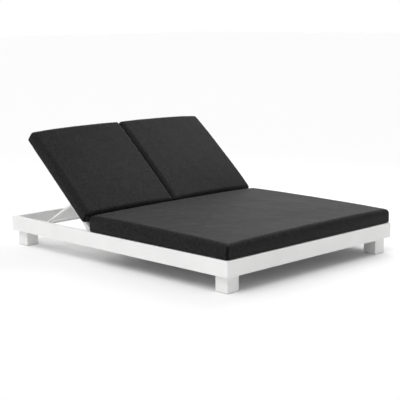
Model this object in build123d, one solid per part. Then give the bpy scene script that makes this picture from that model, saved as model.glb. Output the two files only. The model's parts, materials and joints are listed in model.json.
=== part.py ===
from build123d import *
import os
from math import asin, cos, degrees, radians, sin, sqrt

# Double chaise lounger. Lengths are millimetres and angles are degrees.
# X runs across, Y from the foot end to the head end, and Z is up.
# The origin is the middle of the footprint on the floor.
# Both backs stand at the recline of the rest position.

# Clearances
seat_gap = 0.3
pivot_clearance = 0.05
overrun = 5.0

# Outer frame
frame_width = 1500.0
frame_length = 2000.0
rail_width = 28.0
rail_height = 95.0
rail_wall = 2.5
rail_corner = 2.0
rail_underside = 99.0

# Legs and their glides
leg_size = 92.0
leg_wall = 3.0
leg_corner = 2.0
leg_overlap = 46.0
glide_height = 4.0
glide_inset = 2.0
leg_bolt_head = 14.0
leg_bolt_head_height = 5.0
leg_bolt_spacing = 46.0

# Deck under the seat cushion
slat_thickness = 12.0
slat_wall = 2.5
slat_corner = 2.5
seat_slat_count = 8
seat_slat_gap = 40.0
slat_end_gap = 2.0
ledge_width = 25.0
ledge_height = 28.0
ledge_wall = 3.0
beam_width = 40.0
beam_wall = 2.5
beam_corner = 2.0
beam_underside = 104.0

# Hinge line, whose place is a share of the frame's length from the foot end
hinge_place_share = 0.6055
hinge_beam_gap = 13.0
hinge_bolt_diameter = 10.0
hinge_bolt_head = 18.0
hinge_bolt_head_height = 4.0
hinge_bolt_reach = 8.0
hinge_washer_diameter = 20.0
hinge_plate_thickness = 6.0
hinge_plate_length = 58.0

# Back frames
rest_recline = 41.0
back_side_gap = 16.0
back_middle_gap = 9.0
back_tube_width = 25.0
back_tube_depth = 25.0
back_tube_corner = 3.0
back_tube_wall = 2.0
back_head_gap = 4.0
back_slat_count = 5
back_slat_gap = 40.0
back_slat_start = 62.0

# Props, whose pivot is a share of the back frame's length above the hinge line
prop_pivot_share = 0.3614
prop_diameter = 18.0
prop_eye_diameter = 24.0
prop_side_gap = 7.0
prop_pin_diameter = 8.0
prop_pin_head = 14.0
prop_pin_head_height = 2.6
prop_boss_gap = 0.5
foot_bar_height = 168.0
foot_bar_end_gap = 0.5

# Racks
rack_wall = 3.0
rack_tube_gap = 2.0
rack_top_above_bar = 13.0
rack_side_lap = 24.0
rack_web_gap = 6.0
rack_end_margin = 26.0
rack_flat_margin = 15.0
rack_leg_gap = 25.1
rack_notch_clearance = 1.0
rack_screw_head = 11.0
rack_screw_head_height = 3.0
notch_reclines = (18.0, 30.0, rest_recline, 50.0)

# Short ledges under the head ends of the flat backs
head_ledge_width = 26.0
head_ledge_height = 34.0
head_ledge_length = 180.0
head_ledge_beam_gap = 12.0

# Cushions, each with the height of its sides and the rise of its crown over them
cushion_edge_inset = 1.0
cushion_draw = 5.0
seat_cushion_hinge_gap = 16.5
seat_cushion_height = 92.0
seat_cushion_crown = 8.0
seat_cushion_corner = 14.0
seat_cushion_roll = 22.0
back_cushion_start = 70.0
back_cushion_overhang = 54.0
back_cushion_height = 83.0
back_cushion_crown = 8.0
back_cushion_corner = 12.0
back_cushion_roll = 15.0
back_cushion_split = 5.0

# Height of each ring of a cushion's side as a share of its height, and its inset as a share of the roll
roll_height_shares = (0.0, 0.16, 0.6, 0.82, 0.94, 1.0)
roll_inset_shares = (0.62, 0.14, 0.0, 0.16, 0.5, 1.0)
# How far out the crown's points lie, as a share of the cushion's half width and half length
crown_place_shares = (-0.55, 0.0, 0.55)

# Values that follow
half_width = frame_width / 2
half_length = frame_length / 2
rail_inner_x = half_width - rail_width
rail_inner_y = half_length - rail_width
rail_top = rail_underside + rail_height
leg_top = rail_underside + leg_overlap
deck_underside = rail_top - slat_thickness
tube_middle_drop = slat_thickness + back_tube_depth / 2
hinge_y = frame_length * hinge_place_share - half_length
hinge_z = rail_top - tube_middle_drop
hinge_beam_rear = hinge_y - back_tube_depth / 2 - hinge_beam_gap
hinge_beam_front = hinge_beam_rear - beam_width
back_outer_x = rail_inner_x - back_side_gap
back_inner_x = back_middle_gap / 2
back_length = rail_inner_y - back_head_gap - hinge_y
rack_outer_x = back_outer_x - back_tube_width - rack_tube_gap
rack_inner_x = back_inner_x + back_tube_width + rack_tube_gap
arm_outer_x = back_outer_x - back_tube_width - prop_side_gap - prop_diameter / 2
arm_inner_x = back_inner_x + back_tube_width + prop_side_gap + prop_diameter / 2
bar_outer_x = rack_outer_x - rack_wall - foot_bar_end_gap
bar_inner_x = rack_inner_x + rack_wall + foot_bar_end_gap
seat_slat_room = hinge_beam_rear + rail_inner_y - slat_end_gap
seat_slat_width = (seat_slat_room + seat_slat_gap) / seat_slat_count - seat_slat_gap
back_slat_room = back_length - back_slat_start
back_slat_width = (back_slat_room + back_slat_gap) / back_slat_count - back_slat_gap
foot_bar_drop = hinge_z - foot_bar_height
prop_pivot_along = back_length * prop_pivot_share
rack_flat_end = rail_inner_y - leg_size - rack_leg_gap
prop_flat_reach = rack_flat_end - rack_flat_margin - hinge_y - prop_pivot_along
prop_length = sqrt(prop_flat_reach ** 2 + foot_bar_drop ** 2)
seat_cushion_length = hinge_y + half_length - seat_cushion_hinge_gap - cushion_edge_inset
back_cushion_length = back_length + back_cushion_overhang - back_cushion_start
rack_web_top = rail_top - slat_thickness - back_tube_depth - rack_web_gap
rear_beam_top = rack_web_top - rack_wall
rack_top = foot_bar_height + rack_top_above_bar
mirror_plane = Plane.YZ


def along_y(profile, start, end):
    """Straight bar along Y from a profile drawn with X across and Z up."""
    plane = Plane(origin=(0, start, 0), x_dir=(1, 0, 0), z_dir=(0, -1, 0))
    return extrude(plane * profile, amount=start - end)


def along_x(profile, start, end):
    """Straight bar along X from a profile drawn with Y across and Z up."""
    plane = Plane(origin=(start, 0, 0), x_dir=(0, 1, 0), z_dir=(1, 0, 0))
    return extrude(plane * profile, amount=end - start)


def upright(profile, start, end):
    """Straight bar along Z from a profile drawn in plan."""
    return extrude(Pos(0, 0, start) * profile, amount=end - start)


def rectangle_between(left, right, bottom, top, corner=0.0):
    """Rectangle, with rounded corners where a radius is given."""
    size = (right - left, top - bottom)
    outline = RectangleRounded(*size, corner) if corner else Rectangle(*size)
    return Pos((left + right) / 2, (bottom + top) / 2) * outline


def tube_between(left, right, bottom, top, corner, wall):
    """Hollow rectangular section with rounded outer corners."""
    outer = rectangle_between(left, right, bottom, top, corner)
    return outer - rectangle_between(left + wall, right - wall, bottom + wall, top - wall)


def bolt_along_x(start, end, diameter, head_diameter, head_height):
    """Bolt whose head lies past its start, outside the stated length."""
    outward = -1 if end > start else 1
    shank = along_x(Circle(diameter / 2), min(start, end), max(start, end))
    head_end = start + outward * head_height
    hexagon = RegularPolygon(head_diameter / 2, 6)
    return shank + along_x(hexagon, min(start, head_end), max(start, head_end))


def to_back(shape):
    """Places a shape of the flat back, drawn about its hinge line, at the rest recline."""
    return Pos(0, hinge_y, hinge_z) * Rot(rest_recline, 0, 0) * shape


def prop_angle(recline):
    """Angle of a prop below level when the back stands at the recline."""
    return degrees(asin((prop_pivot_along * sin(radians(recline)) + foot_bar_drop) / prop_length))


def foot_bar_y(recline):
    """Place of the foot bar along the racks when the back stands at the recline."""
    level = prop_pivot_along * cos(radians(recline)) + prop_length * cos(radians(prop_angle(recline)))
    return hinge_y + level


def mitred_side_rail():
    """Left side rail: a box section mitred at both ends."""
    profile = tube_between(-half_width, -rail_inner_x, rail_underside, rail_top, rail_corner, rail_wall)
    bar = along_y(profile, -half_length, half_length)
    outline = Polyline(
        (-half_width, -half_length),
        (-rail_inner_x, -rail_inner_y),
        (-rail_inner_x, rail_inner_y),
        (-half_width, half_length),
        close=True,
    )
    rail = bar & upright(make_face(outline), rail_underside, rail_top)
    bore = Circle(hinge_bolt_diameter / 2 + pivot_clearance)
    inner_wall = along_x(bore, -rail_inner_x - rail_wall - overrun, -rail_inner_x + overrun)
    return rail - Pos(0, hinge_y, hinge_z) * inner_wall


def mitred_end_rail():
    """Foot rail: a box section mitred at both ends."""
    profile = tube_between(-half_length, -rail_inner_y, rail_underside, rail_top, rail_corner, rail_wall)
    bar = along_x(profile, -half_width, half_width)
    outline = Polyline(
        (-half_width, -half_length),
        (-rail_inner_x, -rail_inner_y),
        (rail_inner_x, -rail_inner_y),
        (half_width, -half_length),
        close=True,
    )
    return bar & upright(make_face(outline), rail_underside, rail_top)


def leg_places():
    """Centres of the four legs: foot left, foot right, head left, head right."""
    x = rail_inner_x - leg_size / 2
    y = rail_inner_y - leg_size / 2
    return {
        "leg_foot_left": (-x, -y),
        "leg_foot_right": (x, -y),
        "leg_head_left": (-x, y),
        "leg_head_right": (x, y),
    }


def leg():
    """Square tube leg, closed at the top and open below for its glide."""
    outer = upright(RectangleRounded(leg_size, leg_size, leg_corner), glide_height, leg_top)
    inside = leg_size - 2 * leg_wall
    return outer - upright(Rectangle(inside, inside), 0, leg_top - leg_wall)


def leg_glide():
    """Plastic glide under a leg with a plug that stands up inside the tube."""
    base_size = leg_size - 2 * glide_inset
    plug_size = leg_size - 2 * leg_wall - 2 * seat_gap
    base = upright(Rectangle(base_size, base_size), 0, glide_height)
    plug = upright(Rectangle(plug_size, plug_size), glide_height, glide_height + leg_wall * 4)
    recess_size = plug_size - 2 * leg_wall
    return base + plug - upright(Rectangle(recess_size, recess_size), glide_height, leg_top)


def leg_bolts():
    """Bolts from each leg's inner faces through the leg into both rails, as low hexagon heads."""
    solids = []
    middle = (rail_underside + leg_top) / 2
    for x, y in leg_places().values():
        side = 1 if x > 0 else -1
        end = 1 if y > 0 else -1
        inner_x = x - side * leg_size / 2
        inner_y = y - end * leg_size / 2
        across = sorted((inner_x, inner_x - side * leg_bolt_head_height))
        along = sorted((inner_y, inner_y - end * leg_bolt_head_height))
        head = RegularPolygon(leg_bolt_head / 2, 6)
        for shift in (-leg_bolt_spacing / 2, leg_bolt_spacing / 2):
            solids.append(Pos(0, y + shift, middle) * along_x(head, *across))
            solids.append(Pos(x + shift, 0, middle) * along_y(head, *along))
    return solids


def seat_ledge():
    """Left angle section on the side rail that carries the ends of the seat slats."""
    left = -rail_inner_x
    level = rectangle_between(left, left + ledge_width, deck_underside - ledge_wall, deck_underside)
    stand = rectangle_between(left, left + ledge_wall, deck_underside - ledge_height, deck_underside)
    return along_y(level + stand, -rail_inner_y, hinge_beam_front)


def head_ledge():
    """Two short angle sections on the head rail that the flat backs come to rest on, beside the beam."""
    top = deck_underside - back_tube_depth - seat_gap
    near = rail_inner_y - head_ledge_width
    level = rectangle_between(near, rail_inner_y, top - ledge_wall, top)
    stand = rectangle_between(rail_inner_y - ledge_wall, rail_inner_y, top - head_ledge_height, top)
    inner = beam_width / 2 + head_ledge_beam_gap
    left = along_x(level + stand, -inner - head_ledge_length, -inner)
    return [left, mirror(left, about=mirror_plane)]


def seat_centre_beam():
    """Box beam down the middle, from the foot rail to the hinge beam."""
    reach = beam_width / 2
    profile = tube_between(-reach, reach, beam_underside, deck_underside, beam_corner, beam_wall)
    return along_y(profile, -rail_inner_y, hinge_beam_front)


def hinge_beam():
    """Box beam across the frame just in front of the hinge line."""
    sides = (hinge_beam_front, hinge_beam_rear)
    profile = tube_between(*sides, beam_underside, deck_underside, beam_corner, beam_wall)
    return along_x(profile, -rail_inner_x, rail_inner_x)


def rear_centre_beam():
    """Lower box beam from the hinge beam to the head rail, under the two backs."""
    reach = beam_width / 2
    profile = tube_between(-reach, reach, beam_underside, rear_beam_top, beam_corner, beam_wall)
    return along_y(profile, hinge_beam_rear, rail_inner_y)


def slat_profile(width):
    """Extruded slat: a flat top with turned-down edges and a middle rib."""
    outer = Pos(0, slat_thickness / 2) * Rectangle(width, slat_thickness)
    outer = fillet(outer.vertices().group_by(Axis.Y)[-1], slat_corner)
    bay = (width - 3 * slat_wall) / 2
    shift = (bay + slat_wall) / 2
    pocket_height = slat_thickness - slat_wall
    pocket = Rectangle(bay, pocket_height)
    return outer - Pos(-shift, pocket_height / 2) * pocket - Pos(shift, pocket_height / 2) * pocket


def seat_slats():
    """Slats across the whole seat, evenly spaced from the foot rail to the hinge beam."""
    pitch = seat_slat_width + seat_slat_gap
    reach = rail_inner_x - slat_end_gap
    slat = along_x(slat_profile(seat_slat_width), -reach, reach)
    first = -rail_inner_y + slat_end_gap + seat_slat_width / 2
    places = [first + pitch * number for number in range(seat_slat_count)]
    return [Pos(0, y, deck_underside) * slat for y in places]


def centre_hinge_plate():
    """Plate on the rear centre beam and the hinge beam that carries the inner hinge of both backs."""
    radius = back_tube_depth / 2
    front = hinge_beam_rear
    upstand = rectangle_between(front, hinge_y, rear_beam_top, hinge_z + radius)
    foot = rectangle_between(hinge_y, front + hinge_plate_length, rear_beam_top, hinge_z - radius / 2)
    outline = upstand + foot + Pos(hinge_y, hinge_z) * Circle(radius)
    outline -= Pos(hinge_y, hinge_z) * Circle(hinge_bolt_diameter / 2 + pivot_clearance)
    return along_x(outline, -hinge_plate_thickness / 2, hinge_plate_thickness / 2)


def side_hinge_bolts():
    """Outer hinge bolts, from inside each back frame's tube into the side rail."""
    start = -back_outer_x + back_tube_width + seat_gap
    end = -rail_inner_x - rail_wall - hinge_bolt_reach
    bolt = bolt_along_x(start, end, hinge_bolt_diameter, hinge_bolt_head, hinge_bolt_head_height)
    left = Pos(0, hinge_y, hinge_z) * bolt
    return [left, mirror(left, about=mirror_plane)]


def centre_hinge_bolt():
    """One bolt through both inner tubes and the plate between them, with its nut."""
    reach = back_inner_x + back_tube_width + seat_gap
    end = reach + hinge_bolt_head_height
    bolt = bolt_along_x(-reach, end, hinge_bolt_diameter, hinge_bolt_head, hinge_bolt_head_height)
    nut = along_x(RegularPolygon(hinge_bolt_head / 2, 6), reach, end)
    return Pos(0, hinge_y, hinge_z) * (bolt + nut)


def hinge_washers():
    """Sleeves that space the back frames from the side rails, and washers beside the centre plate."""
    ring = Circle(hinge_washer_diameter / 2) - Circle(hinge_bolt_diameter / 2 + pivot_clearance)
    outer = along_x(ring, -rail_inner_x, -back_outer_x - seat_gap)
    inner = along_x(ring, -back_inner_x + seat_gap, -hinge_plate_thickness / 2)
    left = [Pos(0, hinge_y, hinge_z) * outer, Pos(0, hinge_y, hinge_z) * inner]
    return left + [mirror(washer, about=mirror_plane) for washer in left]


def side_tube(near, far):
    """Side tube of a back frame, rounded about the hinge line and bored for hinge bolt and prop pin."""
    radius = back_tube_depth / 2
    inside = radius - back_tube_wall
    outside = rectangle_between(0, back_length, -radius, radius) + Circle(radius)
    tube = along_x(outside, near, far)
    hollow = rectangle_between(radius, back_length - back_tube_wall, -inside, inside)
    tube -= along_x(hollow, near + back_tube_wall, far - back_tube_wall)
    hinge_bore = Circle(hinge_bolt_diameter / 2 + pivot_clearance)
    pin_bore = Pos(prop_pivot_along, 0) * Circle(prop_pin_diameter / 2 + pivot_clearance)
    return tube - along_x(hinge_bore + pin_bore, near - overrun, far + overrun)


def back_frame():
    """Left back frame, flat: two side tubes, a head tube and a low cross tube, welded."""
    radius = back_tube_depth / 2
    outer_face = -back_outer_x + back_tube_width
    inner_face = -back_inner_x - back_tube_width
    frame = side_tube(-back_outer_x, outer_face) + side_tube(inner_face, -back_inner_x)
    section = tube_between(0, back_tube_width, -radius, radius, 0, back_tube_wall)
    cross = along_x(section, outer_face, inner_face)
    low_start = back_slat_start + (back_slat_width - back_tube_width) / 2
    for start in (back_length - back_tube_width, low_start):
        frame += Pos(0, start, 0) * cross
    corners = frame.edges().filter_by(Axis.Z).sort_by(Axis.Y)[-2:]
    return to_back(fillet(corners, back_tube_corner))


def back_slats():
    """Slats over the left back frame, from just above the hinge line to the head tube."""
    pitch = back_slat_width + back_slat_gap
    slat = along_x(slat_profile(back_slat_width), -back_outer_x, -back_inner_x)
    first = back_slat_start + back_slat_width / 2
    level = back_tube_depth / 2
    places = [first + pitch * number for number in range(back_slat_count)]
    return [to_back(Pos(0, along, level) * slat) for along in places]


def prop_at_rest(shape):
    """Places a shape of the left prop, drawn level from its pivot line, at the rest recline."""
    pivot_y = hinge_y + prop_pivot_along * cos(radians(rest_recline))
    pivot_z = hinge_z + prop_pivot_along * sin(radians(rest_recline))
    return Pos(0, pivot_y, pivot_z) * Rot(-prop_angle(rest_recline), 0, 0) * shape


def prop_eye_blanks():
    """The two eyes of the left prop before boring: each as wide as its arm and the boss beside it."""
    radius = prop_diameter / 2
    boss = prop_side_gap - prop_boss_gap
    blanks = []
    for centre, outward in ((-arm_outer_x, -1), (-arm_inner_x, 1)):
        near = centre - outward * radius
        far = centre + outward * (radius + boss)
        blanks.append(along_x(Circle(prop_eye_diameter / 2), min(near, far), max(near, far)))
    return blanks


def prop():
    """Left prop: two arms, coped to their eyes and joined by the foot bar that drops into the racks."""
    radius = prop_diameter / 2
    bar_profile = Pos(prop_length, 0) * Circle(radius)
    shape = along_x(bar_profile, -bar_outer_x, -bar_inner_x)
    for centre in (-arm_outer_x, -arm_inner_x):
        shape += Pos(centre, 0, 0) * along_y(Circle(radius), 0, prop_length)
    for blank in prop_eye_blanks():
        shape -= blank
    return prop_at_rest(shape)


def prop_eyes():
    """Turned eyes that are welded to the left prop's arms and run on its pins."""
    bore = along_x(Circle(prop_pin_diameter / 2 + pivot_clearance), -half_width, 0)
    return [prop_at_rest(blank - bore) for blank in prop_eye_blanks()]


def prop_pins():
    """Pins of the left prop, each from its head outside the tube to a nut past the eye."""
    solids = []
    eye_width = prop_side_gap + prop_diameter
    for outer_face, inward in ((-back_outer_x, 1), (-back_inner_x, -1)):
        end = outer_face + inward * (back_tube_width + eye_width + seat_gap + prop_pin_head_height)
        pin = bolt_along_x(outer_face, end, prop_pin_diameter, prop_pin_head, prop_pin_head_height)
        nut_start = end - inward * prop_pin_head_height
        pin += along_x(RegularPolygon(prop_pin_head / 2, 6), min(nut_start, end), max(nut_start, end))
        solids.append(to_back(Pos(0, prop_pivot_along, 0) * pin))
    return solids


def rack_span():
    """Start and end of the racks along Y."""
    upright_place = min(foot_bar_y(recline) for recline in notch_reclines)
    return upright_place - rack_end_margin, foot_bar_y(0) + rack_flat_margin


def rack_edge():
    """Side view of a rack flange: ramps that rise to upright teeth, with a round seat before each."""
    seat = prop_diameter / 2 + rack_notch_clearance
    places = sorted(foot_bar_y(recline) for recline in notch_reclines)
    start, end = rack_span()
    edge = rectangle_between(start, end, rack_web_top - rack_wall, rack_top)
    for place in places:
        edge -= Pos(place, foot_bar_height) * Circle(seat)
        ramp = Polyline(
            (place + seat, foot_bar_height),
            (place + seat, rack_top + overrun),
            (place - seat * 2, rack_top + overrun),
            (place - seat * 2, rack_top),
            (place - seat, foot_bar_height),
            close=True,
        )
        edge -= make_face(ramp)
    lowest = foot_bar_height - seat
    return edge - rectangle_between(places[-1] + seat * 2, end + overrun, lowest, rack_top + overrun)


def rack_side():
    """Left rack: a channel fixed to the side rail, its notched flange standing beside the foot bar."""
    start, end = rack_span()
    web_bottom = rack_web_top - rack_wall
    left = -rail_inner_x
    right = -rack_outer_x + rack_wall
    channel = rectangle_between(left, right, web_bottom, rack_web_top)
    channel += rectangle_between(left, left + rack_wall, web_bottom - rack_side_lap, rack_web_top)
    flange = along_x(rack_edge(), right - rack_wall, right)
    return along_y(channel, start, end) + flange


def rack_centre():
    """Centre rack: a channel on the rear centre beam with a notched flange for each back."""
    start, end = rack_span()
    web_bottom = rack_web_top - rack_wall
    reach = rack_inner_x + rack_wall
    web = along_y(rectangle_between(-reach, reach, web_bottom, rack_web_top), start, end)
    flange = along_x(rack_edge(), -reach, -reach + rack_wall)
    return web + flange + mirror(flange, about=mirror_plane)


def rack_screws():
    """Screws that hold the side racks to the rails and the centre rack to its beam."""
    start, end = rack_span()
    head = RegularPolygon(rack_screw_head / 2, 6)
    face = -rail_inner_x + rack_wall
    side_head = along_x(head, face, face + rack_screw_head_height)
    centre_head = upright(head, rack_web_top, rack_web_top + rack_screw_head_height)
    level = rack_web_top - rack_wall - rack_side_lap / 2
    solids = []
    for y in (start + rack_flat_margin / 2, end - rack_flat_margin / 2):
        side = Pos(0, y, level) * side_head
        solids.extend([side, mirror(side, about=mirror_plane), Pos(0, y, 0) * centre_head])
    return solids


def cushion_ring(width, length, corner, level):
    """One level outline of a cushion: drawn-in sides and rounded corners."""
    x = width / 2
    y = length / 2
    bend = corner * (1 - cos(radians(45)))
    edges = [
        ThreePointArc((corner - x, -y), (0, cushion_draw - y), (x - corner, -y)),
        ThreePointArc((x - corner, -y), (x - bend, bend - y), (x, corner - y)),
        ThreePointArc((x, corner - y), (x - cushion_draw, 0), (x, y - corner)),
        ThreePointArc((x, y - corner), (x - bend, y - bend), (x - corner, y)),
        ThreePointArc((x - corner, y), (0, y - cushion_draw), (corner - x, y)),
        ThreePointArc((corner - x, y), (bend - x, y - bend), (-x, y - corner)),
        ThreePointArc((-x, y - corner), (cushion_draw - x, 0), (-x, corner - y)),
        ThreePointArc((-x, corner - y), (bend - x, bend - y), (corner - x, -y)),
    ]
    return Pos(0, 0, level) * make_face(edges)


def crown_points(width, length, height, crown):
    """Points of a domed top, which rises by one less the square of each place across and along."""
    points = []
    for across in crown_place_shares:
        for along in crown_place_shares:
            rise = crown * (1 - across ** 2) * (1 - along ** 2)
            points.append(Vector(across * width / 2, along * length / 2, height + rise))
    return points


def cushion(width, length, height, crown, corner, roll):
    """Cushion lying flat, its lower face at zero: rolled edges, drawn-in sides and a domed top."""
    rings = []
    for height_share, inset_share in zip(roll_height_shares, roll_inset_shares):
        inset = roll * inset_share
        size = (width - 2 * inset, length - 2 * inset)
        rings.append(cushion_ring(*size, corner + inset / 2, height * height_share))
    faces = loft(rings, ruled=True).faces().sort_by(Axis.Z)
    dome = Face.make_surface(faces[-1].outer_wire(), crown_points(width, length, height, crown))
    return Solid(Shell([*faces[:-1], dome]))


def seat_cushion():
    """One wide cushion over the rails and the seat slats."""
    width = frame_width - 2 * cushion_edge_inset
    middle = -half_length + cushion_edge_inset + seat_cushion_length / 2
    form = cushion(
        width,
        seat_cushion_length,
        seat_cushion_height,
        seat_cushion_crown,
        seat_cushion_corner,
        seat_cushion_roll,
    )
    return Pos(0, middle, rail_top + seat_gap) * form


def back_cushion():
    """Left back cushion on its slats."""
    outer = half_width - cushion_edge_inset
    inner = back_cushion_split / 2
    form = cushion(
        outer - inner,
        back_cushion_length,
        back_cushion_height,
        back_cushion_crown,
        back_cushion_corner,
        back_cushion_roll,
    )
    along = back_cushion_start + back_cushion_length / 2
    return to_back(Pos(-(outer + inner) / 2, along, tube_middle_drop + seat_gap) * form)


def mirrored(shape):
    """The right-hand twin of a left-hand piece."""
    return mirror(shape, about=mirror_plane)


def write(name, solids):
    """Writes one node: a single solid or several alike."""
    pieces = solids if isinstance(solids, list) else [solids]
    single = []
    for piece in pieces:
        single.extend(piece.solids())
    shape = single[0] if len(single) == 1 else Compound(children=single)
    export_step(shape, f"parts/{name}.step")


os.makedirs("parts", exist_ok=True)

left_rail = mitred_side_rail()
write("side_rail_left", left_rail)
write("side_rail_right", mirrored(left_rail))
foot_end_rail = mitred_end_rail()
write("foot_rail", foot_end_rail)
write("head_rail", mirror(foot_end_rail, about=Plane.XZ))

for name, (x, y) in leg_places().items():
    write(name, Pos(x, y, 0) * leg())
write("leg_glides", [Pos(x, y, 0) * leg_glide() for x, y in leg_places().values()])
write("leg_bolts", leg_bolts())

left_ledge = seat_ledge()
write("seat_ledge_left", left_ledge)
write("seat_ledge_right", mirrored(left_ledge))
write("head_ledge", head_ledge())
write("seat_centre_beam", seat_centre_beam())
write("hinge_beam", hinge_beam())
write("rear_centre_beam", rear_centre_beam())
for number, slat in enumerate(seat_slats(), start=1):
    write(f"seat_slat_{number}", slat)

write("centre_hinge_plate", centre_hinge_plate())
write("side_hinge_bolts", side_hinge_bolts())
write("centre_hinge_bolt", centre_hinge_bolt())
write("hinge_washers", hinge_washers())

left_frame = back_frame()
write("back_frame_left", left_frame)
write("back_frame_right", mirrored(left_frame))
for number, slat in enumerate(back_slats(), start=1):
    write(f"back_slat_left_{number}", slat)
    write(f"back_slat_right_{number}", mirrored(slat))

left_prop = prop()
write("prop_left", left_prop)
write("prop_right", mirrored(left_prop))
left_eyes = prop_eyes()
write("prop_eyes_left", left_eyes)
write("prop_eyes_right", [mirrored(eye) for eye in left_eyes])
left_pins = prop_pins()
write("prop_pins_left", left_pins)
write("prop_pins_right", [mirrored(pin) for pin in left_pins])

left_rack = rack_side()
write("rack_left", left_rack)
write("rack_right", mirrored(left_rack))
write("rack_centre", rack_centre())
write("rack_screws", rack_screws())

write("seat_cushion", seat_cushion())
left_back_cushion = back_cushion()
write("back_cushion_left", left_back_cushion)
write("back_cushion_right", mirrored(left_back_cushion))
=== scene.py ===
import json
import math
import bpy
import numpy as np
from mathutils import Matrix, Vector


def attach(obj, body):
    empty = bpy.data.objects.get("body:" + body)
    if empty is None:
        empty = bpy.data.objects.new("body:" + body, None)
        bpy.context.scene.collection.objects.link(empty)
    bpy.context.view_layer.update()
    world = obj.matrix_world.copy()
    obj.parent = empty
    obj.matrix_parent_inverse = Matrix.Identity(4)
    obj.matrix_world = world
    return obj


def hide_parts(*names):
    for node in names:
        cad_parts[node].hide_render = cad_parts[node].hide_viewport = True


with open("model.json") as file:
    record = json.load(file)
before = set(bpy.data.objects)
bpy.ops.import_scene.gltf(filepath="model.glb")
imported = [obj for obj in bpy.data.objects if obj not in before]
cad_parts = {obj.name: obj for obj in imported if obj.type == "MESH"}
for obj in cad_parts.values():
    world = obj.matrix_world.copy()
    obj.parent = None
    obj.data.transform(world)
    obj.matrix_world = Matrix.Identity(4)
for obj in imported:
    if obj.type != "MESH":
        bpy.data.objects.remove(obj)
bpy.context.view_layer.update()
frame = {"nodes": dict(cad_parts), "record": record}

# Double chaise lounger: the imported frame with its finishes, three sewn cushions,
# a studio floor and light. Everything is in metres. X runs across, Y from the foot
# end to the head end and Z is up.

print("stage 1: camera, light and floor")

camera = {
    "place": (-4.8647, -4.9679, 1.5179),
    "turn": 0.7783,      # radians from +Y towards +X
    "tilt": 0.1706,      # radians below level
    "lean": -0.0103,     # radians about the line of sight
    "lens": 97.42,
    "sensor": 36.0,
    "clip": 200.0,       # how far it sees
}

studio = {
    "worldLight": 0.68,
    "worldLean": (0.05, 0.35, 0.0),   # where more of the world light comes from, and how much more
    "backdrop": 1.0,
    "keyFrom": (-0.5, -0.08, 0.86),
    "keyStrength": 1.35,
    "keySpread": 50.0,   # degrees
    "fillFrom": (0.2, -0.75, 0.6),
    "fillStrength": 0.03,
    "fillSpread": 80.0,
    "boxPlace": (1.6, 0.2, 2.15),
    "boxAim": (0.4, 0.5, 0.5),
    "boxSize": 1.5,
    "boxPower": 20.0,
    "floorHalf": 60.0,
    "floorColour": (0.93, 0.93, 0.93, 1.0),
    "floorRough": 0.9,
}


def placeCamera(look):
    # forward from turn and tilt, then right and up turned about it by the lean
    turn, tilt, lean = look["turn"], look["tilt"], look["lean"]
    level = math.cos(tilt)
    forward = Vector((math.sin(turn) * level, math.cos(turn) * level, -math.sin(tilt)))
    side = Vector((math.cos(turn), -math.sin(turn), 0.0))
    upright = side.cross(forward)
    right = side * math.cos(lean) + upright * math.sin(lean)
    up = upright * math.cos(lean) - side * math.sin(lean)
    axes = Matrix((right, up, -forward)).transposed().to_4x4()
    data = bpy.data.cameras.new("photoCamera")
    data.lens = look["lens"]
    data.sensor_width = look["sensor"]
    data.clip_end = look["clip"]
    holder = bpy.data.objects.new("photoCamera", data)
    holder.matrix_world = Matrix.Translation(look["place"]) @ axes
    bpy.context.scene.collection.objects.link(holder)
    bpy.context.scene.camera = holder


def addSun(name, source, strength, spread):
    # a sun seen as a wide disc, so its shadows are as soft as a studio sheet's
    data = bpy.data.lights.new(name, "SUN")
    data.energy = strength
    data.angle = math.radians(spread)
    holder = bpy.data.objects.new(name, data)
    holder.rotation_euler = Vector(source).to_track_quat("Z", "Y").to_euler()
    bpy.context.scene.collection.objects.link(holder)


def addSoftBox(name, look):
    # a square softbox above the right-hand side, whose light falls off across the cushions
    data = bpy.data.lights.new(name, "AREA")
    data.energy = look["boxPower"]
    data.size = look["boxSize"]
    holder = bpy.data.objects.new(name, data)
    away = Vector(look["boxPlace"]) - Vector(look["boxAim"])
    turned = away.to_track_quat("Z", "Y").to_matrix().to_4x4()
    holder.matrix_world = Matrix.Translation(look["boxPlace"]) @ turned
    bpy.context.scene.collection.objects.link(holder)


def makeWorld(look):
    # the camera sees a plain backdrop, while the part is lit by light that leans one way
    world = bpy.data.worlds.new("studioWorld")
    world.use_nodes = True
    nodes, links = world.node_tree.nodes, world.node_tree.links
    light = nodes["Background"]
    light.inputs["Color"].default_value = (1.0, 1.0, 1.0, 1.0)
    # the light's strength: worldLight times 1 plus the dot product of worldLean
    # and the way it comes from
    ways = nodes.new("ShaderNodeTexCoord")
    slope = nodes.new("ShaderNodeVectorMath")
    slope.operation = "DOT_PRODUCT"
    slope.inputs[1].default_value = look["worldLean"]
    links.new(ways.outputs["Generated"], slope.inputs[0])
    strength = nodes.new("ShaderNodeMath")
    strength.operation = "MULTIPLY_ADD"
    links.new(slope.outputs["Value"], strength.inputs[0])
    strength.inputs[1].default_value = look["worldLight"]
    strength.inputs[2].default_value = look["worldLight"]
    links.new(strength.outputs["Value"], light.inputs["Strength"])
    backdrop = nodes.new("ShaderNodeBackground")
    backdrop.inputs["Strength"].default_value = look["backdrop"]
    backdrop.inputs["Color"].default_value = (1.0, 1.0, 1.0, 1.0)
    rays = nodes.new("ShaderNodeLightPath")
    choose = nodes.new("ShaderNodeMixShader")
    links.new(rays.outputs["Is Camera Ray"], choose.inputs["Fac"])
    links.new(light.outputs["Background"], choose.inputs[1])
    links.new(backdrop.outputs["Background"], choose.inputs[2])
    links.new(choose.outputs["Shader"], nodes["World Output"].inputs["Surface"])
    bpy.context.scene.world = world


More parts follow.
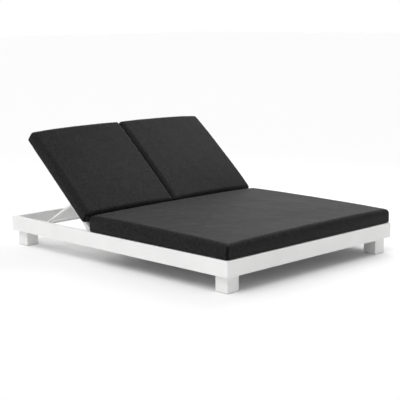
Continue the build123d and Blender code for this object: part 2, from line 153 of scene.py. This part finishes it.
def makeFloor(look):
    # one square of pale paper, wide enough to run past the picture
    half = look["floorHalf"]
    corners = [(-half, -half, 0.0), (half, -half, 0.0), (half, half, 0.0), (-half, half, 0.0)]
    mesh = bpy.data.meshes.new("studioFloor")
    mesh.from_pydata(corners, [], [(0, 1, 2, 3)])
    floor = bpy.data.objects.new("studioFloor", mesh)
    bpy.context.scene.collection.objects.link(floor)
    paint = bpy.data.materials.new("floorPaper")
    paint.use_nodes = True
    shader = paint.node_tree.nodes["Principled BSDF"]
    shader.inputs["Base Color"].default_value = look["floorColour"]
    shader.inputs["Roughness"].default_value = look["floorRough"]
    mesh.materials.append(paint)


placeCamera(camera)
makeWorld(studio)
addSun("keyLight", studio["keyFrom"], studio["keyStrength"], studio["keySpread"])
addSun("fillLight", studio["fillFrom"], studio["fillStrength"], studio["fillSpread"])
addSoftBox("softBox", studio)
makeFloor(studio)
bpy.context.scene.view_settings.view_transform = "Standard"


print("stage 2: finishes")


def newFinish(name):
    # a material with its node tree, its links and its shader
    finish = bpy.data.materials.new(name)
    finish.use_nodes = True
    tree = finish.node_tree
    return finish, tree.nodes, tree.links, tree.nodes["Principled BSDF"]


def setShader(shader, values):
    # plain numbers go straight onto the shader's own sockets
    for socket, value in values.items():
        shader.inputs[socket].default_value = value


def addNoise(nodes, links, source, scale, detail=2.0, roughness=0.5):
    # cloudy values about 0.5, with lumps of about 1 / scale
    noise = nodes.new("ShaderNodeTexNoise")
    noise.inputs["Scale"].default_value = scale
    noise.inputs["Detail"].default_value = detail
    noise.inputs["Roughness"].default_value = roughness
    links.new(source, noise.inputs["Vector"])
    return noise.outputs["Fac"]


def addRange(nodes, links, source, low, high, fromLow=0.3, fromHigh=0.7):
    # carries fromLow..fromHigh over to low..high and stops there
    spread = nodes.new("ShaderNodeMapRange")
    spread.inputs["From Min"].default_value = fromLow
    spread.inputs["From Max"].default_value = fromHigh
    spread.inputs["To Min"].default_value = low
    spread.inputs["To Max"].default_value = high
    links.new(source, spread.inputs["Value"])
    return spread.outputs["Result"]


def addBlend(nodes, links, source, dark, light):
    # colour between dark and light, as the source goes from 0 to 1
    mix = nodes.new("ShaderNodeMix")
    mix.data_type = "RGBA"
    mix.inputs["A"].default_value = dark
    mix.inputs["B"].default_value = light
    links.new(source, mix.inputs["Factor"])
    return mix.outputs["Result"]


def addBump(nodes, links, height, depth, strength, under=None):
    # leans the surface by the slope of height times depth, over another bump if there is one
    bump = nodes.new("ShaderNodeBump")
    bump.inputs["Distance"].default_value = depth
    bump.inputs["Strength"].default_value = strength
    links.new(height, bump.inputs["Height"])
    if under is not None:
        links.new(under, bump.inputs["Normal"])
    return bump.outputs["Normal"]


def addMath(nodes, links, task, first, second=None):
    # one step of arithmetic on sources or plain numbers
    step = nodes.new("ShaderNodeMath")
    step.operation = task
    for socket, value in zip(step.inputs, (first, second)):
        if value is None:
            continue
        if isinstance(value, (int, float)):
            socket.default_value = value
        else:
            links.new(value, socket)
    return step.outputs["Value"]


def objectPlace(nodes):
    # the place on the piece in metres
    return nodes.new("ShaderNodeTexCoord").outputs["Object"]


def powderCoat(look):
    # white powder: a fine orange peel over slow, faint changes of tint and gloss
    finish, nodes, links, shader = newFinish("powderCoat")
    place = objectPlace(nodes)
    cloud = addNoise(nodes, links, place, look["tintScale"], detail=3.0)
    tint = addRange(nodes, links, cloud, 0.0, 1.0)
    links.new(addBlend(nodes, links, tint, look["shade"], look["light"]), shader.inputs["Base Color"])
    gloss = addNoise(nodes, links, place, look["glossScale"], detail=4.0)
    links.new(addRange(nodes, links, gloss, look["smooth"], look["rough"]), shader.inputs["Roughness"])
    peel = addNoise(nodes, links, place, look["peelScale"], detail=1.0)
    peeled = addBump(nodes, links, peel, look["peelDepth"], look["peelStrength"])
    links.new(peeled, shader.inputs["Normal"])
    setShader(shader, {"Specular IOR Level": look["shine"]})
    return finish


def turnedSteel(look):
    # stainless bolts and pins: satin with slow blotches and fine scratches
    finish, nodes, links, shader = newFinish("turnedSteel")
    place = objectPlace(nodes)
    cloud = addNoise(nodes, links, place, look["blotchScale"], detail=3.0)
    blotch = addRange(nodes, links, cloud, 0.0, 1.0)
    links.new(addBlend(nodes, links, blotch, look["shade"], look["light"]), shader.inputs["Base Color"])
    scratch = addNoise(nodes, links, place, look["scratchScale"], detail=4.0, roughness=0.7)
    links.new(addRange(nodes, links, scratch, look["smooth"], look["rough"]), shader.inputs["Roughness"])
    scored = addBump(nodes, links, scratch, look["scratchDepth"], look["scratchStrength"])
    links.new(scored, shader.inputs["Normal"])
    setShader(shader, {"Metallic": 1.0})
    return finish


def mouldedPlastic(name, look):
    # matt moulding with a spark-eroded grain
    finish, nodes, links, shader = newFinish(name)
    place = objectPlace(nodes)
    cloud = addRange(nodes, links, addNoise(nodes, links, place, look["cloudScale"]), 0.0, 1.0)
    links.new(addBlend(nodes, links, cloud, look["shade"], look["light"]), shader.inputs["Base Color"])
    grain = addNoise(nodes, links, place, look["grainScale"])
    links.new(addRange(nodes, links, grain, look["smooth"], look["rough"]), shader.inputs["Roughness"])
    grained = addBump(nodes, links, grain, look["grainDepth"], look["grainStrength"])
    links.new(grained, shader.inputs["Normal"])
    return finish


def wovenCloth(look):
    # plain weave of heathered yarn, laid along the cover's own map, which is in metres
    finish, nodes, links, shader = newFinish("wovenCharcoal")

    def work(task, first, second=None):
        return addMath(nodes, links, task, first, second)

    cover = nodes.new("ShaderNodeUVMap")
    cover.uv_map = "cover"
    parts = nodes.new("ShaderNodeSeparateXYZ")
    links.new(cover.outputs["UV"], parts.inputs["Vector"])
    across = work("MULTIPLY", parts.outputs["X"], 1.0 / look["yarn"])
    along = work("MULTIPLY", parts.outputs["Y"], 1.0 / look["yarn"])
    # each yarn is a half round: the size of a sine across it
    warp = work("ABSOLUTE", work("SINE", work("MULTIPLY", across, math.pi)))
    weft = work("ABSOLUTE", work("SINE", work("MULTIPLY", along, math.pi)))
    # the warp lies on top where the whole parts of both counts add up to an odd number
    count = work("ADD", work("FLOOR", across), work("FLOOR", along))
    over = work("PINGPONG", count, 1.0)
    height = nodes.new("ShaderNodeMix")
    links.new(over, height.inputs["Factor"])
    links.new(weft, height.inputs["A"])
    links.new(warp, height.inputs["B"])
    # long flecks run along each yarn, so its noise is stretched that way
    flecks = []
    for stretch in ((1.0, look["fleck"], 1.0), (look["fleck"], 1.0, 1.0)):
        mapping = nodes.new("ShaderNodeMapping")
        mapping.inputs["Scale"].default_value = [value / look["yarn"] for value in stretch]
        links.new(cover.outputs["UV"], mapping.inputs["Vector"])
        flecks.append(addNoise(nodes, links, mapping.outputs["Vector"], 1.0, roughness=0.6))
    fleck = nodes.new("ShaderNodeMix")
    links.new(over, fleck.inputs["Factor"])
    links.new(flecks[1], fleck.inputs["A"])
    links.new(flecks[0], fleck.inputs["B"])
    tone = addRange(nodes, links, fleck.outputs["Result"], 0.0, 1.0, *look["fleckSpan"])
    yarnColour = addBlend(nodes, links, tone, look["dark"], look["light"])
    # slow fading over the cushion
    place = objectPlace(nodes)
    cloud = addNoise(nodes, links, place, look["fadeScale"], detail=3.0)
    fade = addRange(nodes, links, cloud, look["fadeLow"], look["fadeHigh"])
    faded = nodes.new("ShaderNodeMix")
    faded.data_type = "RGBA"
    faded.blend_type = "MULTIPLY"
    faded.inputs["Factor"].default_value = 1.0
    links.new(yarnColour, faded.inputs["A"])
    # thicker and thinner stretches of yarn, and painted shade along each seam that darkens the seam
    # grooves, the upright corner valleys and the lower edge where the cushion meets the frame
    lump = addNoise(nodes, links, place, look["slubScale"], detail=3.0, roughness=0.7)
    slub = addRange(nodes, links, lump, look["slubLow"], look["slubHigh"])
    tint = work("MULTIPLY", fade, slub)
    for seam, width in look["seams"].items():
        gap = nodes.new("ShaderNodeAttribute")
        gap.attribute_name = seam
        # painted shade: the base colour is darkest within each seam's core and back to full at its width
        core = width * look["threadShare"]
        shadow = addRange(nodes, links, gap.outputs["Fac"], look["threadTone"], 1.0, core, width)
        tint = work("MULTIPLY", tint, shadow)
    links.new(tint, faded.inputs["B"])
    links.new(faded.outputs["Result"], shader.inputs["Base Color"])
    # yarn tops are smoother than the hollows between them
    yarnTop = height.outputs["Result"]
    gloss = addRange(nodes, links, yarnTop, look["rough"], look["smooth"], 0.0, 1.0)
    links.new(gloss, shader.inputs["Roughness"])
    # the weave's bump lies over the slow waves of slack cloth
    slack = addNoise(nodes, links, place, look["slackScale"], detail=3.0)
    soft = addBump(nodes, links, slack, look["slackDepth"], look["slackStrength"])
    weave = addBump(nodes, links, yarnTop, look["yarnDepth"], look["yarnStrength"], soft)
    links.new(weave, shader.inputs["Normal"])
    setShader(shader, {
        "Sheen Weight": look["sheen"],
        "Sheen Roughness": look["sheenRoughness"],
        "Specular IOR Level": look["shine"],
    })
    return finish


finishes = {
    "white_powder_coat": powderCoat({
        "light": (0.84, 0.84, 0.835, 1.0),
        "shade": (0.80, 0.80, 0.795, 1.0),
        "tintScale": 5.0,
        "glossScale": 40.0,
        "smooth": 0.34,
        "rough": 0.46,
        "peelScale": 850.0,
        "peelDepth": 0.0003,
        "peelStrength": 0.12,
        "shine": 0.45,
    }),
    "stainless_steel": turnedSteel({
        "light": (0.66, 0.66, 0.67, 1.0),
        "shade": (0.52, 0.52, 0.53, 1.0),
        "blotchScale": 120.0,
        "scratchScale": 900.0,
        "scratchDepth": 0.0001,
        "scratchStrength": 0.5,
        "smooth": 0.26,
        "rough": 0.44,
    }),
    "glide_plastic": mouldedPlastic("glidePlastic", {
        "light": (0.60, 0.60, 0.60, 1.0),
        "shade": (0.52, 0.52, 0.52, 1.0),
        "cloudScale": 60.0,
        "grainScale": 1400.0,
        "grainDepth": 0.0001,
        "grainStrength": 0.6,
        "smooth": 0.5,
        "rough": 0.7,
    }),
    "washer_plastic": mouldedPlastic("washerPlastic", {
        "light": (0.76, 0.76, 0.75, 1.0),
        "shade": (0.68, 0.68, 0.67, 1.0),
        "cloudScale": 80.0,
        "grainScale": 1400.0,
        "grainDepth": 0.0001,
        "grainStrength": 0.6,
        "smooth": 0.45,
        "rough": 0.6,
    }),
    "cushion_fabric": wovenCloth({
        "yarn": 0.0013,            # the width of one yarn
        "fleck": 0.06,             # how much slower a fleck changes along its yarn than across it
        "fleckSpan": (0.25, 0.75),
        "dark": (0.004, 0.004, 0.004, 1.0),
        "light": (0.018, 0.018, 0.0181, 1.0),
        "fadeScale": 5.0,
        "fadeLow": 0.92,
        "fadeHigh": 1.08,
        "slubScale": 70.0,
        "slubLow": 0.3,
        "slubHigh": 1.7,
        # how wide the painted seam shade along each kind of seam is, and how much of it is darkest
        "seams": {"topSeam": 0.0016, "lowerSeam": 0.012, "cornerSeam": 0.013},
        # the darkest tone of the painted seam shade, as a share of the base colour
        "threadTone": 0.05,
        "threadShare": 0.25,
        "smooth": 0.5,
        "rough": 0.7,
        "slackScale": 14.0,
        "slackDepth": 0.0015,
        "slackStrength": 0.5,
        "yarnDepth": 0.0005,
        "yarnStrength": 0.45,
        "sheen": 0.3,
        "sheenRoughness": 0.22,
        "shine": 0.1,
    }),
}

nodeFinish = {part["node"]: part["material_slot"] for part in frame["record"]["subparts"]}
for nodeName, holder in frame["nodes"].items():
    for place in holder.material_slots:
        place.material = finishes[nodeFinish[nodeName]]


print("stage 3: cushions")

leftRecline = frame["record"]["behaviour"]["joints"][0]
restRecline = -math.radians(leftRecline["range_deg"][0])
# where the hinge line crosses the middle plane
hingeLine = np.array([0.0, *leftRecline["pos_m"][1:]])
# rows are the back's own axes: across, up along the back, and out from its face
backAxes = np.array([
    [1.0, 0.0, 0.0],
    [0.0, math.cos(restRecline), math.sin(restRecline)],
    [0.0, -math.sin(restRecline), math.cos(restRecline)],
])
levelAxes = np.eye(3)
seamNames = ("topSeam", "lowerSeam", "cornerSeam")
touch = 1e-7   # a place this near a face of the box lies on it
speck = 1e-9   # a length below this counts as none


def readVectors(mesh, what="co"):
    # a row of three for each point: its place, or its normal
    values = np.empty(len(mesh.vertices) * 3)
    mesh.vertices.foreach_get(what, values)
    return values.reshape(-1, 3)


def nodeSpan(nodeName, origin, axes):
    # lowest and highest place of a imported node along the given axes
    turned = (readVectors(frame["nodes"][nodeName].data) - origin) @ axes.T
    return turned.min(axis=0), turned.max(axis=0)


def edgeSteps(roll, steps):
    # places inside an edge that fall at even angles once it is rolled: tangents up to 45 degrees
    return roll * np.tan(np.linspace(0.0, math.pi / 4, steps + 1)[1:])


def acrossLine(half, roll, step, steps):
    # even steps over the flat middle, then the rolled edge's own steps on both sides
    flat = half - roll
    count = max(2, int(round(2 * flat / step)))
    outer = flat + edgeSteps(roll, steps)
    return np.concatenate([-outer[::-1], np.linspace(-flat, flat, count + 1), outer])


def upLine(height, lowerRoll, upperRoll, step, steps):
    # the lower edge's steps, even steps up the band, then the upper edge's steps
    low = lowerRoll - np.concatenate([edgeSteps(lowerRoll, steps)[::-1], [0.0]])
    high = height - upperRoll + np.concatenate([[0.0], edgeSteps(upperRoll, steps)])
    count = max(2, int(round((high[0] - low[-1]) / step)))
    return np.concatenate([low, np.linspace(low[-1], high[0], count + 1)[1:-1], high])


def gridPanel(first, second, fixed, value, panel, flip):
    # a flat grid of one box face: its places, its quads and which panel of the cover it is
    a, b = np.meshgrid(first, second, indexing="ij")
    level = np.full_like(a, value)
    columns = {0: (level, a, b), 1: (a, level, b), 2: (a, b, level)}[fixed]
    places = np.stack(columns, axis=-1).reshape(-1, 3)
    index = np.arange(a.size).reshape(a.shape)
    quads = np.stack([index[:-1, :-1], index[1:, :-1], index[1:, 1:], index[:-1, 1:]], axis=-1)
    quads = quads.reshape(-1, 4)
    if flip:
        quads = quads[:, ::-1]
    return places, quads, np.full(len(quads), panel)


def boxCover(xs, ys, zs):
    # six panels that share their edges, with quads that face outwards
    panels = [
        gridPanel(xs, ys, 2, zs[-1], 0, False),
        gridPanel(xs, ys, 2, zs[0], 1, True),
        gridPanel(ys, zs, 0, xs[-1], 2, False),
        gridPanel(ys, zs, 0, xs[0], 3, True),
        gridPanel(xs, zs, 1, ys[0], 4, False),
        gridPanel(xs, zs, 1, ys[-1], 5, True),
    ]
    places, quads, panel, start = [], [], [], 0
    for points, faces, which in panels:
        places.append(points)
        quads.append(faces + start)
        panel.append(which)
        start += len(points)
    places = np.concatenate(places)
    # places that agree to a tenth of a micrometre become one point
    keys = np.round(places, 7)
    _, first, number = np.unique(keys, axis=0, return_index=True, return_inverse=True)
    return places[first], number.reshape(-1)[np.concatenate(quads)], np.concatenate(panel)


def coverMap(places, quads, panel, height):
    # the cover's map in metres: the top runs on over each side as far as the side is deep
    corners = places[quads]
    x, y, z = corners[..., 0], corners[..., 1], corners[..., 2]
    depth = height - z
    which = panel[:, None]
    u = np.select([which == 2, which == 3], [x + depth, x - depth], x)
    v = np.select([which == 4, which == 5], [y - depth, y + depth], y)
    return np.stack([u, v], axis=-1).reshape(-1, 2)


def slowWaves(places, length, seed, count=12, least=0.7, most=1.4):
    # uneven swells of about the given length: count sines in as many directions, each least
    # to most times as fast as one wave per length; their sum is divided by half their count
    source = np.random.default_rng(seed)
    runs = source.normal(size=(count, 3))
    pace = source.uniform(least, most, (count, 1))
    runs *= 2 * math.pi / length * pace / np.linalg.norm(runs, axis=1, keepdims=True)
    starts = source.uniform(0, 2 * math.pi, count)
    return np.sin(places @ runs.T + starts).sum(axis=1) / (count / 2)


def seamGaps(places, half, height, steep=20):
    # distance over the cover from the top seam, the lower seam and the upright corner seams,
    # the last growing steeply over the top and the underside, so that it marks the sides alone
    x, y, z = places.T
    inset = np.minimum(half[0] - abs(x), half[1] - abs(y)).clip(0)
    corner = (half[0] - abs(x)) + (half[1] - abs(y)) + inset * steep
    return inset + height - z, inset + z, corner


def shapeCushion(places, half, height, look):
    # rounds the box in plan and in section, draws in or bulges its sides and shapes its top
    x, y, z = places.T
    inset = np.minimum(half[0] - abs(x), half[1] - abs(y))
    below = height - z
    # plan corners: the square in each corner becomes a quarter disc, ray by ray
    corner = look["corner"]
    core = np.clip(places[:, :2], -(half - corner), half - corner)
    arm = places[:, :2] - core
    reach = np.maximum(abs(arm[:, 0]), abs(arm[:, 1]))
    length = np.linalg.norm(arm, axis=1)
    ray = np.divide(arm, length[:, None], out=np.zeros_like(arm), where=length[:, None] > speck)
    # rolled edges: inset and depth go round a quarter circle
    newInset, newZ = inset.copy(), z.copy()
    for roll, depth, top in ((look["upperRoll"], below, True), (look["lowerRoll"], z, False)):
        flat = (depth < touch) & (inset < roll)
        side = (inset < touch) & (depth < roll)
        overFlat = np.arctan((roll - inset) / roll)
        overSide = np.pi / 2 - np.arctan((roll - depth) / roll)
        angle = np.where(flat, overFlat, overSide)
        rolled = flat | side
        newInset = np.where(rolled, roll * (1 - np.sin(angle)), newInset)
        drop = roll * (1 - np.cos(angle))
        newZ = np.where(rolled, height - drop if top else drop, newZ)
    # points out in a corner go along their ray, and all others straight in from the nearest side
    outside = reach > speck
    nearest = (half[0] - abs(x) > half[1] - abs(y)).astype(int)
    inward = np.eye(2)[nearest] * -np.sign(places[:, :2])
    cornerPlan = core + ray * (corner - newInset)[:, None]
    sidePlan = places[:, :2] + inward * (newInset - inset)[:, None]
    plan = np.where(outside[:, None], cornerPlan, sidePlan)
    u = np.clip(plan / half, -1, 1)
    up = newZ / height
    # sides: fullest half way up, and drawn in most at their middles
    full = look["fullness"] * (1 - (2 * up - 1) ** 2)
    other = u[:, ::-1]
    bulge = full[:, None] * (1 - other ** look["fullPower"])
    plan += u ** look["sidePower"] * (bulge - look["draw"] * (1 - other ** 2))
    # inner runs from -1 at a back's outer side to 1 where the two backs meet
    inner = -look["away"] * u[:, 0]
    # the head end bows out: 1 less the square of the way from the peak, times the height's root
    peak = look["bowPeak"]
    bow = 1 - ((inner - peak) / (1 + peak)) ** 2
    plan[:, 1] += look["headBow"] * bow * np.clip(u[:, 1], 0, 1) ** look["sidePower"] * up ** 0.5
    # upright corner seams lie in a valley between the two bands, deepest half way up
    gap = seamGaps(places, half, height)[2]
    midway = np.clip(4 * up * (1 - up), 0, 1) ** look["pinchPower"]
    valley = look["pinch"] * np.exp(-(gap / look["pinchWidth"]) ** 2) * midway
    plan -= ray * valley[:, None]
    # the top is crowned over its middle and falls at the corners, where the underside lifts
    across, along = abs(u[:, 0]), abs(u[:, 1])
    tip = (across * along) ** look["tipPower"]
    power = look["crownPower"]
    crown = look["crown"] * (1 - across ** power) * (1 - along ** power) * up ** look["crownFade"]
    # its long and short edges rise at their middles, its head end as a whole, and where backs meet
    power, fade = look["edgePower"], up ** look["riseFade"]
    middles = (1 - across ** 2) * along ** power + (1 - along ** 2) * across ** power
    toHead, toOther = 0.5 + 0.5 * u[:, 1], 0.5 + 0.5 * inner
    edges = look["edgeRise"] * middles * fade
    rear = look["rearRise"] * toHead ** look["risePower"] * fade
    meeting = look["innerRise"] * toOther ** look["risePower"] * toHead * fade
    # the outer corners fall most: tipEven less tipLean times inner
    share = look["tipEven"] - look["tipLean"] * inner
    drop = look["tipDrop"] * share * tip * up ** look["tipFade"]
    lift = look["tipLift"] * tip * (1 - up) ** look["tipFade"]
    return np.column_stack([plan, newZ + (crown + edges + rear + meeting - drop + lift)])


def makePiece(name, places, quads, coverPlaces, finish):
    # a smooth mesh with the cover's map and its finish
    mesh = bpy.data.meshes.new(name)
    mesh.from_pydata(places.tolist(), [], quads.tolist())
    mesh.polygons.foreach_set("use_smooth", np.ones(len(quads), dtype=bool))
    layer = mesh.uv_layers.new(name="cover")
    layer.data.foreach_set("uv", coverPlaces.astype(np.float32).ravel())
    mesh.materials.append(finish)
    mesh.update()
    piece = bpy.data.objects.new(name, mesh)
    bpy.context.scene.collection.objects.link(piece)
    return piece


def writePlaces(mesh, places):
    mesh.vertices.foreach_set("co", places.astype(np.float32).ravel())
    mesh.update()


def smoothMoves(mesh, moves, resting, rounds):
    # each point's move becomes the mean of its own and its neighbours' mean, round after round,
    # which irons out folds
    ends = np.empty(len(mesh.edges) * 2, dtype=np.int64)
    mesh.edges.foreach_get("vertices", ends)
    here = np.concatenate([ends[::2], ends[1::2]])
    there = np.concatenate([ends[1::2], ends[::2]])
    count = np.bincount(here, minlength=len(moves))[:, None]
    for _ in range(rounds):
        sums = [np.bincount(here, moves[there, axis], len(moves)) for axis in range(3)]
        around = np.column_stack(sums) / count
        moves = (moves + around) / 2
        moves[resting] = 0
    return moves


def fillCover(piece, resting, axes, look):
    # blows the cover up a little as cloth, holds the part that rests, and caps how far a point moves
    start = readVectors(piece.data)
    held = piece.vertex_groups.new(name="resting")
    held.add(np.flatnonzero(resting).tolist(), 1.0, "REPLACE")
    cloth = piece.modifiers.new("filling", "CLOTH")
    settings = cloth.settings
    settings.quality = look["quality"]
    settings.mass = look["clothMass"]
    settings.tension_stiffness = look["stretch"]
    settings.compression_stiffness = look["stretch"]
    settings.shear_stiffness = look["shear"]
    settings.bending_stiffness = look["bend"]
    settings.air_damping = look["airDrag"]
    settings.use_pressure = True
    settings.uniform_pressure_force = look["pressure"]
    settings.vertex_group_mass = "resting"
    settings.effector_weights.gravity = 0.0
    cloth.point_cache.frame_start = 1
    cloth.point_cache.frame_end = look["frames"]
    scene = bpy.context.scene
    for count in range(1, look["frames"] + 1):
        scene.frame_set(count)
    blown = readVectors(piece.evaluated_get(bpy.context.evaluated_depsgraph_get()).data)
    # a blown cover pulls its edges in, so its plan is stretched back to the size it was cut for
    flat, flatStart = blown @ axes.T, start @ axes.T
    ratio = np.ptp(flatStart, axis=0) / np.ptp(flat, axis=0)
    centre = (flat.max(axis=0) + flat.min(axis=0)) / 2
    centreStart = (flatStart.max(axis=0) + flatStart.min(axis=0)) / 2
    for axis in (0, 1):
        flat[:, axis] = (flat[:, axis] - centre[axis]) * ratio[axis] + centreStart[axis]
    blown = flat @ axes
    piece.modifiers.remove(cloth)
    piece.vertex_groups.remove(held)
    scene.frame_set(1)
    shift = smoothMoves(piece.data, blown - start, resting, look["ironing"])
    far = np.linalg.norm(shift, axis=1).max()
    # every move is scaled down alike, so that the longest one comes to the cap
    writePlaces(piece.data, start + shift * min(1.0, look["cap"] / far))
    print(f"  {piece.name}: filled, moves up to {far * 1000:.1f} mm before the cap")


def refine(piece):
    # one subdivision, applied, so that seams can be pressed into finer rows
    split = piece.modifiers.new("split", "SUBSURF")
    split.levels = split.render_levels = 1
    finer = bpy.data.meshes.new_from_object(piece.evaluated_get(bpy.context.evaluated_depsgraph_get()))
    piece.modifiers.remove(split)
    old = piece.data
    piece.data = finer
    name = old.name
    bpy.data.meshes.remove(old)
    finer.name = name


def addValues(mesh, name, values):
    # one number for each point, which the finish reads too
    layer = mesh.attributes.new(name, "FLOAT", "POINT")
    layer.data.foreach_set("value", values.astype(np.float32))


def readValues(mesh, name):
    values = np.empty(len(mesh.vertices))
    mesh.attributes[name].data.foreach_get("value", values)
    return values


def pressSeams(piece, look, seed):
    # grooves along the sewn edges, puckers that die out away from them, and slow swells
    mesh = piece.data
    places, normals = readVectors(mesh), readVectors(mesh, "normal")
    top, lower, corner = (readValues(mesh, name) for name in seamNames)
    nearest = np.minimum(np.minimum(top, lower), corner)
    depth, width = look["seamDepth"], look["seamWidth"]
    groove = depth * np.exp(-(nearest / width) ** 2)
    # the cloth stands up a little on both sides of a groove
    ridge = depth * look["ridgeShare"] * np.exp(-((nearest - look["ridgePlace"] * width) / width) ** 2)
    waves = slowWaves(places, look["puckerLength"], seed)
    pucker = look["pucker"] * np.exp(-nearest / look["puckerReach"]) * waves
    # two sizes of swell, the longer one higher, which both die out towards a seam
    waves = slowWaves(places, look["swellLength"], seed + 1)
    swell = look["swell"] * waves * (1 - np.exp(-nearest / look["swellReach"]))
    waves = slowWaves(places, look["swellLength"] * look["longLength"], seed + 2)
    swell += look["swell"] * look["longSwell"] * waves * (1 - np.exp(-nearest / look["longReach"]))
    # both are weaker near the lower seam, where the cover is held
    held = np.exp(-np.clip(lower, 0, None) / look["heldReach"]) * look["heldShare"]
    writePlaces(mesh, places + normals * ((ridge - groove) + (pucker + swell) * (1 - held))[:, None])


def sewCushion(name, nodeName, body, origin, axes, look, seed, splitSide=0):
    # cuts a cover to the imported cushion's size, then forms, fills and seams it and puts it in
    # that node's place; splitSide is -1 for the left back, 1 for the right one and 0 for the seat
    low, high = nodeSpan(nodeName, origin, axes)
    middle = (low + high) / 2
    half = (high - low)[:2] / 2 - look["easing"]
    height = high[2] - low[2] - look["crown"] - look["easing"]
    look = dict(look, away=splitSide)
    xs = acrossLine(half[0], look["upperRoll"], look["cell"], look["rollSteps"])
    ys = acrossLine(half[1], look["upperRoll"], look["cell"], look["rollSteps"])
    zs = upLine(height, look["lowerRoll"], look["upperRoll"], look["cell"], look["rollSteps"])
    places, quads, panel = boxCover(xs, ys, zs)
    coverPlaces = coverMap(places, quads, panel, height)
    shaped = shapeCushion(places, half, height, look)
    moved = (shaped + np.array([middle[0], middle[1] + look["shift"], low[2]])) @ axes + origin
    piece = makePiece(name, moved, quads, coverPlaces, finishes["cushion_fabric"])
    for label, values in zip(seamNames, seamGaps(places, half, height)):
        addValues(piece.data, label, values)
    # the underside rests where it lies over the frame, away from its edges
    inset = np.minimum(half[0] - abs(places[:, 0]), half[1] - abs(places[:, 1]))
    under = (places[:, 2] < touch) & (inset > look["lowerRoll"] * look["restShare"])
    fillCover(piece, under, axes, look)
    refine(piece)
    pressSeams(piece, look, seed)
    # nothing goes below the face it rests on, and each back keeps splitGap away from the middle
    held = (readVectors(piece.data) - origin) @ axes.T
    held[:, 2] = np.maximum(held[:, 2], low[2])
    if splitSide:
        held[:, 0] = splitSide * np.maximum(held[:, 0] * splitSide, look["splitGap"])
    writePlaces(piece.data, held @ axes + origin)
    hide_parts(nodeName)
    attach(piece, body)


seatLook = {
    "corner": 0.012,       # radius of the corners in plan
    "upperRoll": 0.032,    # radii of the rolled edges
    "lowerRoll": 0.012,
    "rollSteps": 6,
    "cell": 0.015,         # size of the grid's quads
    "easing": 0.001,       # the cover starts this much inside its final size
    "fullness": 0.005,     # how far the sides bulge half way up
    "fullPower": 8,        # how far towards the corners they do so
    "draw": 0.002,         # how far the sides are drawn in at their middles
    "sidePower": 7,        # how soon both die out away from the sides
    "crown": 0.008,
    "crownPower": 2.4,
    "crownFade": 3,        # how soon the crown dies out down the sides
    "edgeRise": 0.006,     # how far the top's edges rise at their middles
    "edgePower": 4,        # how near the edge that rise begins
    "rearRise": 0.014,     # how far the top rises towards the head end
    "risePower": 1.5,
    "riseFade": 2,         # how soon all rises die out down the sides
    "headBow": 0.0,        # how far the head end bows out
    "bowPeak": 0.0,        # where it bows most, from its middle (0) towards the other back (1)
    "innerRise": 0.0,      # how far the top rises where two backs meet
    "tipDrop": 0.006,      # how far the top's corners fall
    "tipEven": 0.65,       # the share of it on the middle line between a back's sides
    "tipLean": 0.35,       # how much more of it at the outer side, and less at the inner one
    "tipLift": 0.002,      # how far the underside's corners rise
    "tipPower": 4,         # how near the corners both begin
    "tipFade": 1.5,
    "pinch": 0.009,        # depth and width of the valleys along the upright corner seams
    "pinchWidth": 0.008,
    "pinchPower": 0.7,
    "restShare": 1.5,      # in lower rolls: how far from its edge the underside is held
    "quality": 5,
    "clothMass": 0.3,
    "stretch": 8.0,
    "shear": 4.0,
    "bend": 8.0,
    "pressure": 4.0,
    "airDrag": 2.0,
    "frames": 20,
    "ironing": 120,        # rounds of smoothing
    "cap": 0.010,          # the longest move that filling may make
    "seamDepth": 0.0008,
    "seamWidth": 0.0022,
    "ridgeShare": 0.25,    # of the seam's depth
    "ridgePlace": 2.4,     # in seam widths
    "pucker": 0.0009,
    "puckerReach": 0.022,
    "puckerLength": 0.032,
    "swell": 0.0006,
    "swellLength": 0.12,
    "swellReach": 0.03,
    "longSwell": 1.6,      # the long swells, as so many times the short ones
    "longLength": 2.6,
    "longReach": 0.06,
    "heldReach": 0.012,
    "heldShare": 0.7,
    "shift": 0.0,          # how far the cover lies further back along its own length
    "fill": 0.9,
}

backLook = dict(
    seatLook,
    corner=0.022,
    upperRoll=0.028,
    cell=0.012,
    fullness=0.004,
    draw=0.003,
    edgeRise=0.005,
    rearRise=0.0,
    headBow=0.014,
    bowPeak=0.45,
    innerRise=0.006,
    tipDrop=0.009,
    shift=0.005,
    splitGap=0.0035,       # from the middle to each back
)

sewCushion("seatCushion", "seat_cushion", "frame_body", np.zeros(3), levelAxes, seatLook, 11)
for side, away, seed in (("left", -1, 21), ("right", 1, 31)):
    names = f"backCushion_{side}", f"back_cushion_{side}", f"back_{side}_body"
    sewCushion(*names, hingeLine, backAxes, backLook, seed, away)
